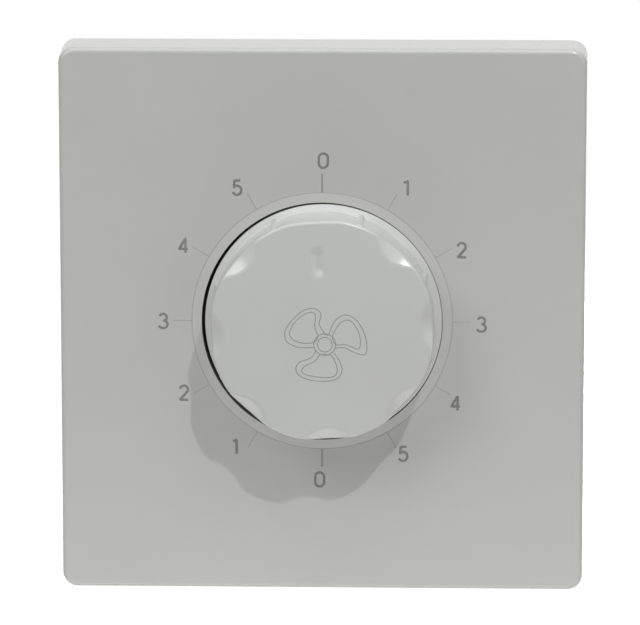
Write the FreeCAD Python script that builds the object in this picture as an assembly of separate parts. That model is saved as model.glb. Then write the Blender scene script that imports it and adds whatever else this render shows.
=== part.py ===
import FreeCAD
import Part
import math
import os

# Fan speed control switch, millimetres. X to the right, Y into the wall, Z up.
# The wall plane is y = 0 and the knob turns about the Y axis through the origin.

# Front plate
plate_width = 86.0
plate_height = 90.0
plate_depth = 10.0
plate_draft = 0.25
plate_wall = 2.0
plate_corner = 2.5
plate_edge = 0.9
plate_shift_x = -0.26
plate_shift_z = -0.10
pry_width = 8.0
pry_depth = 1.2

# Dial opening in the plate
dial_line_radius = 21.2
dial_hole_radius = 19.65
collar_rise = 0.3
collar_back = -5.5

# Knob
knob_skirt_radius = 19.3
knob_skirt_back = -6.2
knob_skirt_edge = 0.7
knob_height = 10.0
knob_dome_radius = 220.0
knob_foot_height = 1.7
knob_foot_radius = 18.12
knob_top_radius = 18.05
knob_rim_radius = 0.5
knob_inner_radius = 16.0
knob_face_wall = 2.4
knob_hub_radius = 5.0
knob_hub_back = -8.2
knob_hub_slot = 4.5
knob_clip_thickness = 0.5
knob_clip_inset = 0.6
knob_clip_width = 2.8
knob_clip_mouth = 3.0
knob_rib_width = 1.2
knob_rib_depth = 4.0
knob_turn_at_rest = -3.2
grip_count = 8
grip_flat_top = 17.6
grip_flat_foot = 18.14
ridge_width = 1.3
ridge_base_radius = 19.05
ridge_top_inset = 1.3
scoop_radius = 13.6
scoop_slope = 22.0
scoop_inner = 15.7
dimple_from_axis = 11.3
dimple_half_length = 2.7
dimple_half_width = 1.05
dimple_depth = 0.45

# Shaft and its bearing
shaft_radius = 3.0
shaft_front = -16.6
shaft_flat_from_axis = 2.2
shaft_flat_end = -8.0
running_fit = 0.05
pivot_radius = 1.9
pivot_end = 11.0
bushing_radius = 4.9
bushing_front = -7.6
bushing_flange_radius = 6.6
bushing_flange_depth = 1.2
nut_across_flats = 13.0
nut_thickness = 1.8
washer_radius = 7.4
washer_thickness = 0.4

# Mounting frame and its fixing slots
frame_margin = 4.5
frame_width = plate_width - 2 * frame_margin
frame_height = plate_height - 2 * frame_margin
frame_thickness = 2.2
frame_rib_height = 2.3
frame_rib_width = 1.5
frame_corner = 2.0
fixing_distance = 60.3
fixing_half_width = 2.0
fixing_slot_length = 7.0
case_opening_gap = 0.25

# Snap hooks of the front plate and their windows in the frame
hook_inset = 4.5
hook_x = frame_width / 2 - hook_inset
hook_z = 24.0
hook_thickness = 1.8
hook_width = 6.0
hook_end = -0.5
barb_reach = 1.3
barb_front = -2.6
window_gap = 0.5
turret_wall = 1.6
turret_front = -5.0

# Insulating case behind the plate
case_size = 48.0
case_back = 33.0
case_wall = 1.8
case_corner = 2.0
case_room = case_size / 2 - case_wall
case_boss_inset = 2.8
case_boss_radius = 2.6
case_boss_position = case_room - case_boss_inset
case_boss_edge = case_boss_position - case_boss_radius
cover_lip_x = 2.0
cover_lip_z = 6.0
cover_width = case_size + 2 * cover_lip_x
cover_height = case_size + 2 * cover_lip_z
cover_thickness = 2.0
cover_corner = 2.0
frame_screw_offset = 3.0
frame_screw_z = case_size / 2 + frame_screw_offset
frame_boss_radius = 2.6
frame_boss_end = 4.0
post_inset = 4.2
post_x = case_room - post_inset
post_z = case_size / 4
post_radius = 1.8
vent_count = 5
vent_pitch = 3.2
vent_width = 1.2
vent_length = case_size / 2

# Screws
screw_radius = 1.2
screw_head_radius = 2.4
screw_head_height = 1.4
screw_clearance = 0.3
screw_length = 9.0
frame_screw_length = 7.0
thread_fit = 0.03
cross_depth = 0.8
cross_width = 0.6
cross_length = 2.8

# Rotary switch
switch_radius = case_size * 0.3125
switch_wall = 1.6
switch_front_wall = 2.4
switch_mid = 6.8
switch_base_thickness = 2.2
rivet_offset = 1.6
rivet_x = switch_radius + rivet_offset
ear_reach = 2.4
ear_width = 2 * (rivet_x + ear_reach)
ear_height = 8.0
rivet_radius = 1.1
rivet_head_radius = 2.0
rivet_head_height = 0.7
peg_inset = 4.0
peg_z = switch_radius - peg_inset
peg_radius = 1.2
peg_length = 1.6
rotor_radius = case_size * 0.225
rotor_front = 0.6
rotor_back = 4.6
rotor_hub_radius = 5.0
notch_count = 12
notch_radius = 1.3
notch_depth = 0.7
spring_thickness = 0.3
spring_width = 3.0
spring_end_gap = 0.16
spring_level = 0.6
notch_gap = 0.15
contact_inset = 1.6
contact_circle = rotor_radius - contact_inset
contact_radius = 1.5
contact_thickness = 0.6
contact_pin_radius = 0.5
common_inner = 3.3
common_gap = 2.8
common_outer = contact_circle - common_gap
common_track = (common_inner + common_outer) / 2
bridge_inner_end = 3.0
bridge_outer_reach = 1.2
bridge_thickness = 0.5
bridge_half_width = 2.0
bridge_tip_radius = 0.8
contact_fit = 0.05
clip_thickness = 0.6
clip_radius = 3.9
clip_groove_radius = 1.4
clip_front = 9.5

# Circuit board and the parts on it
board_front = 12.4
board_thickness = 1.6
board_gap = 0.6
board_half = case_room - board_gap
board_boss_gap = 0.8
pin_hole_radius = 0.6
block_bottom_gap = 1.6
block_height = 11.0
block_z0 = block_bottom_gap - case_room
block_z1 = block_z0 + block_height
large_cap_boss_gap = 0.3
large_cap_top_gap = 3.2
large_cap_x = case_boss_edge - large_cap_boss_gap
large_cap_z0 = 3.0
large_cap_z1 = case_room - large_cap_top_gap
large_cap_depth = 15.0
small_cap_side_gap = 5.2
small_cap_x0 = small_cap_side_gap - case_room
small_cap_end_gap = 14.2
small_cap_x1 = case_room - small_cap_end_gap
small_cap_z0 = block_z1 + 1.2
small_cap_z1 = large_cap_z0 - 0.6
small_cap_depth = 13.0
cap_edge = 0.8
cap_lead_inset = 3.0
resistor_gap = 3.6
resistor_pitch = 4.6
resistor_x = (small_cap_x1 + resistor_gap, small_cap_x1 + resistor_gap + resistor_pitch)
resistor_z = (large_cap_z0 + block_z1) / 2
resistor_radius = 1.6
resistor_end_gap = 2.8
resistor_length = large_cap_z0 - block_z1 - 2 * resistor_end_gap
resistor_cap_length = 1.6
resistor_lift = 0.3
lead_radius = 0.35
lead_reach = 1.2

# Wire terminals
block_boss_gap = 1.8
block_half_width = case_boss_edge - block_boss_gap
terminal_pitch = block_half_width * 0.64
terminal_rise = 5.6
terminal_z = block_z0 + terminal_rise
cell_wall = 1.1
cell_half_width = terminal_pitch / 2 - cell_wall
cell_y0 = 19.0
cell_y1 = 28.0
cell_z1 = block_z1 - 1.6
wire_hole_radius = 2.0
cage_gap = 0.15
cage_wall = 1.0
cage_z0 = block_z0 + 1.6
terminal_screw_radius = 1.4
terminal_head_inset = 1.1
terminal_head_radius = cell_half_width - terminal_head_inset
terminal_head_height = 1.3
terminal_screw_tip = terminal_z - 0.6
driver_hole_radius = 2.8

# Places along the depth that follow from the sizes above
plate_front = -plate_depth
frame_front = -frame_thickness
cover_front = frame_front - cover_thickness
knob_face = plate_front - knob_height
base_back = switch_mid + switch_base_thickness
board_back = board_front + board_thickness
case_floor = case_back - case_wall
leaf_top = rotor_radius + spring_level + spring_thickness
spring_reach = switch_radius - switch_wall - spring_end_gap
spring_half_length = math.sqrt(spring_reach ** 2 - leaf_top ** 2)
skirt_edge = plate_front - knob_skirt_edge
knob_foot = plate_front - knob_foot_height


def block(x0, x1, y0, y1, z0, z1):
    return Part.makeBox(x1 - x0, y1 - y0, z1 - z0, FreeCAD.Vector(x0, y0, z0))


def rod(radius, y0, y1, x=0.0, z=0.0):
    return Part.makeCylinder(radius, y1 - y0, FreeCAD.Vector(x, y0, z), FreeCAD.Vector(0, 1, 0))


def upright(radius, z0, z1, x, y):
    return Part.makeCylinder(radius, z1 - z0, FreeCAD.Vector(x, y, z0), FreeCAD.Vector(0, 0, 1))


def turned(points):
    corners = [FreeCAD.Vector(radius, y, 0) for radius, y in points]
    outline = Part.makePolygon(corners + [corners[0]])
    return Part.Face(outline).revolve(FreeCAD.Vector(0, 0, 0), FreeCAD.Vector(0, 1, 0), 360)


def joined(shapes):
    whole = shapes[0].fuse(shapes[1:])
    return whole.removeSplitter()


def rounded_outline(half_x, half_z, corner, y):
    def at(x, z):
        return FreeCAD.Vector(x, y, z)

    bend = corner * (1 - math.sqrt(0.5))
    edges = []
    sides = [(1, 1), (-1, 1), (-1, -1), (1, -1)]
    for index, (sx, sz) in enumerate(sides):
        along_z = at(sx * half_x, sz * (half_z - corner))
        middle = at(sx * (half_x - bend), sz * (half_z - bend))
        along_x = at(sx * (half_x - corner), sz * half_z)
        first, last = (along_z, along_x) if sx * sz > 0 else (along_x, along_z)
        edges.append(Part.Arc(first, middle, last).toShape())
        tx, tz = sides[(index + 1) % 4]
        if tx * tz > 0:
            following = at(tx * half_x, tz * (half_z - corner))
        else:
            following = at(tx * (half_x - corner), tz * half_z)
        edges.append(Part.LineSegment(last, following).toShape())
    return Part.Wire(edges)


def rounded_block(half_x, half_z, corner, y0, y1):
    outline = rounded_outline(half_x, half_z, corner, y0)
    return Part.Face(outline).extrude(FreeCAD.Vector(0, y1 - y0, 0))


def around(shape, angle):
    turned_shape = shape.copy()
    turned_shape.rotate(FreeCAD.Vector(0, 0, 0), FreeCAD.Vector(0, 1, 0), angle)
    return turned_shape


def save(name, shape):
    if len(shape.Solids) == 1:
        shape = shape.Solids[0]
    shape.exportStep(os.path.join("parts", name + ".step"))


# Front plate: drafted shell, sloping collar, clips
def front_plate():
    half_x = plate_width / 2
    half_z = plate_height / 2
    back = rounded_outline(half_x, half_z, plate_corner, 0)
    front = rounded_outline(half_x - plate_draft, half_z - plate_draft, plate_corner, plate_front)
    body = Part.makeLoft([back, front], True, True)
    rim = [edge for edge in body.Edges if edge.BoundBox.YMax < plate_front + 0.01]
    body = body.makeFillet(plate_edge, rim)
    room_x = half_x - plate_wall - plate_draft
    room_z = half_z - plate_wall - plate_draft
    room = rounded_block(room_x, room_z, plate_corner / 2, plate_front + plate_wall, 1)
    body = body.cut(room)
    body = body.cut(rod(dial_hole_radius, plate_front - 1, 1))
    collar = turned([
        (dial_hole_radius, plate_front - collar_rise),
        (dial_line_radius, plate_front),
        (dial_line_radius, collar_back),
        (dial_hole_radius, collar_back),
    ])
    pieces = [body, collar]
    for side in (-1, 1):
        for level in (-hook_z, hook_z):
            pieces.append(snap_hook(side, level))
    plate = joined(pieces)
    pry = block(-pry_width / 2, pry_width / 2, -pry_depth, 1, -half_z - 1, -room_z + 0.1)
    plate = plate.cut(pry)
    plate.translate(FreeCAD.Vector(plate_shift_x, 0, plate_shift_z))
    return plate


# One hook: a flat arm from the plate's inside with an outward barb
def snap_hook(side, level):
    inner = hook_x
    outer = hook_x + hook_thickness
    tip = outer + barb_reach
    points = [
        (inner, plate_front + plate_wall / 2),
        (outer, plate_front + plate_wall / 2),
        (outer, barb_front),
        (tip, barb_front),
        (tip, barb_front + barb_reach / 2),
        (outer, hook_end),
        (inner, hook_end),
    ]
    corners = [FreeCAD.Vector(side * x, y, level - hook_width / 2) for x, y in points]
    face = Part.Face(Part.makePolygon(corners + [corners[0]]))
    return face.extrude(FreeCAD.Vector(0, 0, hook_width))


# Mounting frame: flat grid with rim rib, hook windows, fixing slots
def mounting_frame():
    half_x = frame_width / 2
    half_z = frame_height / 2
    opening = case_size / 2 + case_opening_gap
    body = rounded_block(half_x, half_z, frame_corner, frame_front, 0)
    rib_front = frame_front - frame_rib_height
    rim = rounded_block(half_x, half_z, frame_corner, rib_front, frame_front)
    rim_room = rounded_block(
        half_x - frame_rib_width, half_z - frame_rib_width, frame_corner / 2, rib_front - 1, frame_front
    )
    pieces = [body, rim.cut(rim_room)]
    for level in (-frame_screw_z, frame_screw_z):
        pieces.append(rod(frame_boss_radius, frame_front, frame_boss_end, 0, level))
    for side in (-1, 1):
        for level in (-hook_z, hook_z):
            pieces.append(window_turret(side, level))
    frame = joined(pieces)
    cutters = [block(-opening, opening, -1 + frame_front, 1, -opening, opening)]
    for level in (-frame_screw_z, frame_screw_z):
        bore = screw_radius + thread_fit
        cutters.append(rod(bore, frame_front - 1, frame_boss_end + 1, 0, level))
    for side in (-1, 1):
        cutters.append(fixing_slot(side * fixing_distance / 2))
        for level in (-hook_z, hook_z):
            cutters.extend(window_cutters(side, level))
    return frame.cut(cutters).removeSplitter()


def window_turret(side, level):
    x0 = hook_x - window_gap - turret_wall
    x1 = hook_x + hook_thickness + window_gap + turret_wall
    half = hook_width / 2 + window_gap + turret_wall
    left, right = sorted((side * x0, side * x1))
    return block(left, right, turret_front, frame_front + 0.5, level - half, level + half)


def window_cutters(side, level):
    x0 = hook_x - window_gap
    x1 = hook_x + hook_thickness + window_gap
    half = hook_width / 2 + window_gap
    left, right = sorted((side * x0, side * x1))
    through = block(left, right, turret_front - 1, 1, level - half, level + half)
    x2 = x1 + barb_reach
    left, right = sorted((side * x0, side * x2))
    undercut = block(left, right, barb_front, 1, level - half, level + half)
    return [through, undercut]


def fixing_slot(x):
    half_run = fixing_slot_length / 2 - fixing_half_width
    ends = [rod(fixing_half_width, frame_front - 1, 1, x + run) for run in (-half_run, half_run)]
    middle = block(
        x - half_run, x + half_run, frame_front - 1, 1, -fixing_half_width, fixing_half_width
    )
    return joined([middle] + ends)


# Insulating case: cover in front of the frame, box behind it
def housing_cover():
    body = rounded_block(cover_width / 2, cover_height / 2, cover_corner, cover_front, frame_front)
    posts = []
    for side in (-1, 1):
        for level in (-post_z, post_z):
            posts.append(rod(post_radius, frame_front, board_front, side * post_x, level))
    body = joined([body] + posts)
    cutters = [rod(bushing_radius + running_fit, cover_front - 1, frame_front + 1)]
    cutters.append(rod(peg_radius + running_fit, cover_front - 1, frame_front + 1, 0, peg_z))
    hole = screw_radius + screw_clearance
    for side in (-1, 1):
        cutters.append(rod(hole, cover_front - 1, frame_front + 1, 0, side * frame_screw_z))
        for level in (-1, 1):
            x = side * case_boss_position
            z = level * case_boss_position
            cutters.append(rod(hole, cover_front - 1, frame_front + 1, x, z))
    return body.cut(cutters)


def rear_housing():
    half = case_size / 2
    room = case_room
    body = rounded_block(half, half, case_corner, frame_front, case_back)
    body = body.cut(rounded_block(room, room, case_corner / 2, frame_front - 1, case_floor))
    pieces = [body]
    shell = rounded_block(half - 0.2, half - 0.2, case_corner, frame_front, case_back - 0.2)
    for side in (-1, 1):
        for level in (-1, 1):
            x = side * case_boss_position
            z = level * case_boss_position
            boss = rod(case_boss_radius, frame_front, case_floor + 0.5, x, z)
            corner = block(
                min(x, side * (room + 0.5)), max(x, side * (room + 0.5)), frame_front, case_floor + 0.5,
                min(z, level * (room + 0.5)), max(z, level * (room + 0.5)),
            )
            pieces.append(joined([boss, corner]).common(shell))
            x0, x1 = sorted((side * (board_half - 1.4), side * (room + 0.5)))
            z0 = level * post_z - 1
            pieces.append(block(x0, x1, board_back, case_floor + 0.5, z0, z0 + 2))
    body = joined(pieces)
    cutters = []
    for side in (-1, 1):
        for level in (-1, 1):
            bore = screw_radius + thread_fit
            x = side * case_boss_position
            z = level * case_boss_position
            cutters.append(rod(bore, frame_front - 1, frame_front + screw_length, x, z))
    for index in range(3):
        x = (index - 1) * terminal_pitch
        y = (cell_y0 + cell_y1) / 2
        cutters.append(rod(wire_hole_radius, case_floor - 1, case_back + 1, x, terminal_z))
        cutters.append(upright(driver_hole_radius, -half - 1, -room + 1, x, y))
    for index in range(vent_count):
        z = (large_cap_z0 + large_cap_z1) / 2 + (index - (vent_count - 1) / 2) * vent_pitch
        cutters.append(block(
            -vent_length / 2, vent_length / 2, case_floor - 1, case_back + 1,
            z - vent_width / 2, z + vent_width / 2,
        ))
    return body.cut(cutters)


# Cross-headed screw that is driven along +Y
def screw(x, z, head_back, length):
    head = rod(screw_head_radius, head_back - screw_head_height, head_back, x, z)
    rim = [edge for edge in head.Edges if edge.BoundBox.YMax < head_back - screw_head_height + 0.01]
    head = head.makeFillet(screw_head_height / 2, rim)
    shank = rod(screw_radius, head_back - 0.2, head_back + length, x, z)
    tip = Part.makeCone(
        screw_radius, screw_radius / 3, screw_radius,
        FreeCAD.Vector(x, head_back + length, z), FreeCAD.Vector(0, 1, 0),
    )
    front = head_back - screw_head_height - 1
    floor = head_back - screw_head_height + cross_depth
    half_length = cross_length / 2
    half_width = cross_width / 2
    slot_a = block(x - half_length, x + half_length, front, floor, z - half_width, z + half_width)
    slot_b = block(x - half_width, x + half_width, front, floor, z - half_length, z + half_length)
    return joined([head, shank, tip]).cut([slot_a, slot_b])


def housing_screws():
    place = case_boss_position
    spots = [(x, z) for x in (-place, place) for z in (-place, place)]
    length = screw_length - screw_radius
    return Part.makeCompound([screw(x, z, cover_front, length) for x, z in spots])


def frame_screws():
    spots = (-frame_screw_z, frame_screw_z)
    return Part.makeCompound([screw(0, z, cover_front, frame_screw_length) for z in spots])


# Bearing of the shaft and what clamps it to the case
def bushing():
    flange_back = frame_front + bushing_flange_depth
    body = joined([
        rod(bushing_radius, bushing_front, flange_back),
        rod(bushing_flange_radius, frame_front, flange_back),
    ])
    return body.cut(rod(shaft_radius + running_fit, bushing_front - 1, flange_back + 1))


def bushing_nut():
    back = cover_front - washer_thickness
    radius = nut_across_flats / math.sqrt(3)
    corners = []
    for index in range(6):
        angle = math.radians(60 * index)
        x = radius * math.cos(angle)
        z = radius * math.sin(angle)
        corners.append(FreeCAD.Vector(x, back - nut_thickness, z))
    face = Part.Face(Part.makePolygon(corners + [corners[0]]))
    body = face.extrude(FreeCAD.Vector(0, nut_thickness, 0))
    bevel = turned([
        (0, back - nut_thickness),
        (nut_across_flats / 2, back - nut_thickness),
        (radius + 0.1, back - nut_thickness + 0.6),
        (radius + 0.1, back),
        (0, back),
    ])
    return body.common(bevel).cut(rod(bushing_radius + thread_fit, back - nut_thickness - 1, back + 1))


def lock_washer():
    back = cover_front
    ring = rod(washer_radius, back - washer_thickness, back)
    return ring.cut(rod(bushing_radius + 2 * running_fit, back - washer_thickness - 1, back + 1))


# Rotary switch halves share one outline with two rivet ears
def switch_outline(y0, y1):
    ears = block(-ear_width / 2, ear_width / 2, y0, y1, -ear_height / 2, ear_height / 2)
    return joined([rod(switch_radius, y0, y1), ears])


def switch_housing():
    inside = switch_radius - switch_wall
    floor = frame_front + switch_front_wall
    body = switch_outline(frame_front, switch_mid)
    peg = rod(peg_radius, frame_front - peg_length, frame_front + 0.5, 0, peg_z)
    body = joined([body, peg])
    cutters = [rod(inside, floor, switch_mid + 1)]
    flange_seat = frame_front + bushing_flange_depth
    rivet_seat = frame_front + rivet_head_height
    cutters.append(rod(bushing_flange_radius + running_fit, frame_front - 1, flange_seat))
    cutters.append(rod(shaft_radius + 3 * running_fit, frame_front - 1, floor + 1))
    for side in (-1, 1):
        x = side * rivet_x
        cutters.append(rod(rivet_radius + running_fit, frame_front - 1, switch_mid + 1, x))
        cutters.append(rod(rivet_head_radius + 0.3, frame_front - 1, rivet_seat, x))
    return joined([body.cut(cutters)] + spring_posts())


# Two posts inside the switch back up the ends of the leaf spring
def spring_posts():
    floor = frame_front + switch_front_wall
    inside = switch_radius - switch_wall
    posts = []
    for side in (-1, 1):
        x0, x1 = sorted((side * (spring_half_length - 2), side * spring_half_length))
        post = block(x0, x1, floor - 0.2, rotor_back, leaf_top, inside)
        posts.append(post.common(rod(inside + 0.3, floor - 0.2, rotor_back)))
    return posts


def switch_base():
    body = switch_outline(switch_mid, base_back)
    cutters = [rod(pivot_radius + running_fit, switch_mid - 1, base_back + 1)]
    front = switch_mid - 1
    seat = switch_mid + contact_thickness
    cutters.append(turned([
        (common_inner, front), (common_outer, front), (common_outer, seat), (common_inner, seat),
    ]))
    cutters.append(rod(contact_pin_radius, front, base_back + 1, 0, -common_track))
    for x, z in contact_places():
        cutters.append(rod(contact_radius, front, seat, x, z))
        cutters.append(rod(contact_pin_radius, front, base_back + 1, x, z))
    for side in (-1, 1):
        cutters.append(rod(rivet_radius + running_fit, front, base_back + 1, side * rivet_x, 0))
    return body.cut(cutters)


# Places of the speeds 1 to 5, twice round; both zero places stay empty
def contact_places():
    places = []
    for step in range(notch_count):
        if step % 6 != 0:
            angle = math.radians(step * 360 / notch_count)
            places.append((contact_circle * math.sin(angle), contact_circle * math.cos(angle)))
    return places


def fixed_contacts():
    contacts = []
    for x, z in contact_places():
        disc = rod(contact_radius, switch_mid, switch_mid + contact_thickness, x, z)
        pin = rod(contact_pin_radius, switch_mid, board_back - 0.2, x, z)
        contacts.append(joined([disc, pin]))
    return Part.makeCompound(contacts)


def common_contact():
    back = switch_mid + contact_thickness
    ring = turned([
        (common_inner, switch_mid), (common_outer, switch_mid), (common_outer, back), (common_inner, back),
    ])
    pin = rod(contact_pin_radius, back - 0.2, board_back - 0.2, 0, -common_track)
    return joined([ring, pin])


def switch_rivets():
    rivets = []
    for side in (-1, 1):
        x = side * rivet_x
        front = frame_front + 0.1
        rivets.append(joined([
            rod(rivet_radius, front, base_back, x),
            rod(rivet_head_radius, front, frame_front + rivet_head_height, x),
            rod(rivet_head_radius, base_back, base_back + rivet_head_height, x),
        ]))
    return Part.makeCompound(rivets)


# Shaft: flat for the knob, two flats for the rotor, rear pivot with a groove
def shaft():
    body = joined([
        rod(shaft_radius, shaft_front, rotor_back),
        rod(pivot_radius, rotor_back - 0.2, pivot_end),
    ])
    big = 2 * shaft_radius
    flat = block(-big, big, shaft_front - 1, shaft_flat_end, shaft_flat_from_axis, big)
    side_a = block(-big, big, rotor_front, rotor_back + 0.01, shaft_flat_from_axis, big)
    side_b = block(-big, big, rotor_front, rotor_back + 0.01, -big, -shaft_flat_from_axis)
    ring = rod(big, clip_front, clip_front + clip_thickness)
    groove = ring.cut(rod(clip_groove_radius, clip_front - 1, clip_front + clip_thickness + 1))
    return body.cut([flat, side_a, side_b, groove])


def retaining_clip():
    ring = rod(clip_radius, clip_front, clip_front + clip_thickness)
    y0 = clip_front - 1
    y1 = clip_front + clip_thickness + 1
    bore = rod(clip_groove_radius, y0, y1)
    mouth_half = clip_groove_radius * 0.9
    mouth = block(-mouth_half, mouth_half, y0, y1, -2 * clip_radius, 0)
    relief = []
    for angle in (-50, 50):
        reach = clip_groove_radius + 0.8
        x = reach * math.sin(math.radians(angle))
        z = reach * math.cos(math.radians(angle))
        relief.append(rod(0.5, y0, y1, x, z))
    return ring.cut([bore, mouth] + relief)


def rotor():
    body = joined([
        rod(rotor_radius, rotor_front, rotor_back),
        rod(rotor_hub_radius, rotor_front - 0.3, rotor_front + 0.5),
    ])
    cutters = []
    for step in range(notch_count):
        angle = math.radians(step * 360 / notch_count)
        reach = rotor_radius + notch_radius - notch_depth
        x = reach * math.sin(angle)
        z = reach * math.cos(angle)
        cutters.append(rod(notch_radius, rotor_front - 1, rotor_back + 1, x, z))
    bore = rod(shaft_radius + running_fit, rotor_front - 1, rotor_back + 1)
    big = 2 * shaft_radius
    keep = shaft_flat_from_axis + running_fit
    key = block(-big, big, rotor_front, rotor_back + 2, -keep, keep)
    entry = rod(big, rotor_front - 1, rotor_front)
    cutters.append(bore.common(joined([key, entry])))
    return body.cut(cutters)


# Bridge on the rotor's rear face, one tip on the ring and one on the outer circle
def moving_contact():
    back = rotor_back + bridge_thickness
    tip_end = switch_mid - contact_fit
    outer_end = contact_circle + bridge_outer_reach
    half = bridge_half_width
    plate = block(-half, half, rotor_back, back, bridge_inner_end, outer_end)
    tips = []
    for reach in (common_track, contact_circle):
        ball = Part.makeSphere(bridge_tip_radius, FreeCAD.Vector(0, tip_end - bridge_tip_radius, reach))
        stem = rod(bridge_tip_radius, back - 0.1, tip_end - bridge_tip_radius, 0, reach)
        tips.append(joined([stem, ball]))
    return joined([plate] + tips)


# Leaf spring over the rotor's top with one round nose in a notch
def detent_spring():
    level = rotor_radius + spring_level
    nose_radius = notch_radius - notch_gap
    nose_centre = rotor_radius + notch_radius - notch_depth
    y0 = (rotor_front + rotor_back - spring_width) / 2
    y1 = y0 + spring_width
    reach = spring_half_length
    leaf = block(-reach, reach, y0, y1, level, level + spring_thickness)
    nose = rod(nose_radius, y0, y1, 0, nose_centre)
    under = block(-reach, reach, y0, y1, 0, level + spring_thickness)
    return joined([leaf, nose.common(under)])


# Circuit board with its corners cut back around the case's bosses
def circuit_board():
    body = block(-board_half, board_half, board_front, board_back, -board_half, board_half)
    keep = case_boss_edge - board_boss_gap
    cutters = []
    for side in (-1, 1):
        for level in (-1, 1):
            x0, x1 = sorted((side * keep, side * (board_half + 1)))
            z0, z1 = sorted((level * keep, level * (board_half + 1)))
            cutters.append(block(x0, x1, board_front - 1, board_back + 1, z0, z1))
    for x, z in contact_places() + capacitor_leads() + resistor_leads() + terminal_pins():
        cutters.append(rod(pin_hole_radius, board_front - 1, board_back + 1, x, z))
    cutters.append(rod(pin_hole_radius, board_front - 1, board_back + 1, 0, -common_track))
    return body.cut(cutters)


def capacitor_leads():
    inset = cap_lead_inset
    large_z = (large_cap_z0 + large_cap_z1) / 2 + inset
    small_z = (small_cap_z0 + small_cap_z1) / 2
    return [
        (-large_cap_x + inset, large_z),
        (large_cap_x - inset, large_z),
        (small_cap_x0 + inset, small_z),
        (small_cap_x1 - inset, small_z),
    ]


def resistor_leads():
    reach = resistor_length / 2 + lead_reach
    return [(x, resistor_z + side * reach) for x in resistor_x for side in (-1, 1)]


def terminal_pins():
    return [((index - 1) * terminal_pitch, terminal_z) for index in range(3)]


def box_capacitor(x0, x1, z0, z1, depth, leads):
    body = block(x0, x1, board_back, board_back + depth, z0, z1)
    rim = [edge for edge in body.Edges if edge.BoundBox.YMax > board_back + 0.01]
    body = body.makeFillet(cap_edge, rim)
    pins = [rod(lead_radius, board_front - 0.6, board_back + 0.5, x, z) for x, z in leads]
    return joined([body] + pins)


def large_capacitor():
    leads = capacitor_leads()[:2]
    return box_capacitor(
        -large_cap_x, large_cap_x, large_cap_z0, large_cap_z1, large_cap_depth, leads
    )


def small_capacitor():
    leads = capacitor_leads()[2:]
    return box_capacitor(
        small_cap_x0, small_cap_x1, small_cap_z0, small_cap_z1, small_cap_depth, leads
    )


def bleed_resistors():
    resistors = []
    y = board_back + resistor_lift + resistor_radius
    for x in resistor_x:
        z0 = resistor_z - resistor_length / 2
        z1 = resistor_z + resistor_length / 2
        core = upright(resistor_radius * 0.85, z0, z1, x, y)
        pieces = [core]
        pieces.append(upright(resistor_radius, z0, z0 + resistor_cap_length, x, y))
        pieces.append(upright(resistor_radius, z1 - resistor_cap_length, z1, x, y))
        pieces.append(upright(lead_radius, z0 - lead_reach, z1 + lead_reach, x, y))
        for z in (z0 - lead_reach, z1 + lead_reach):
            pieces.append(Part.makeSphere(lead_radius, FreeCAD.Vector(x, y, z)))
            pieces.append(rod(lead_radius, board_front - 0.6, y, x, z))
        resistors.append(joined(pieces))
    return Part.makeCompound(resistors)


# Terminal block: three cells open below, wire holes from behind
def terminal_block():
    body = block(-block_half_width, block_half_width, board_back, case_floor, block_z0, block_z1)
    cutters = []
    for index in range(3):
        x = (index - 1) * terminal_pitch
        cutters.append(block(
            x - cell_half_width, x + cell_half_width, cell_y0, cell_y1, block_z0 - 1, cell_z1
        ))
        cutters.append(rod(wire_hole_radius, cell_y1 - 1, case_floor + 1, x, terminal_z))
        cutters.append(rod(contact_pin_radius + running_fit, board_back - 1, cell_y0 + 1, x, terminal_z))
    return body.cut(cutters)


def terminal_clamps():
    clamps = []
    for index in range(3):
        x = (index - 1) * terminal_pitch
        half = cell_half_width - cage_gap
        y0 = cell_y0 + cage_gap
        y1 = cell_y1 - cage_gap
        z1 = cell_z1 - cage_gap
        tube = block(x - half, x + half, y0, y1, cage_z0, z1)
        inner = half - cage_wall
        floor = cage_z0 + cage_wall
        bore = block(x - inner, x + inner, y0 + cage_wall, y1 + 1, floor, z1 - cage_wall)
        middle = (cell_y0 + cell_y1) / 2
        thread = upright(terminal_screw_radius + thread_fit, cage_z0 - 1, floor + 1, x, middle)
        pin = rod(contact_pin_radius, board_front - 0.6, y0 + 0.3, x, terminal_z)
        clamps.append(joined([tube.cut([bore, thread]), pin]))
    return Part.makeCompound(clamps)


def terminal_screws():
    screws = []
    for index in range(3):
        x = (index - 1) * terminal_pitch
        y = (cell_y0 + cell_y1) / 2
        head_top = cage_z0 - 0.1
        head_end = head_top - terminal_head_height
        head = upright(terminal_head_radius, head_end, head_top, x, y)
        shank = upright(terminal_screw_radius, head_top - 0.2, terminal_screw_tip, x, y)
        half_length = terminal_head_radius + 1
        half_width = cross_width / 2
        floor = head_end + cross_depth / 2
        y0 = y - half_width
        y1 = y + half_width
        slot = block(x - half_length, x + half_length, y0, y1, head_end - 1, floor)
        screws.append(joined([head, shank]).cut(slot))
    return Part.makeCompound(screws)


# How far the domed face has dropped back at a distance from the axis
def dome_drop(radius):
    return knob_dome_radius - math.sqrt(knob_dome_radius ** 2 - radius ** 2)


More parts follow.
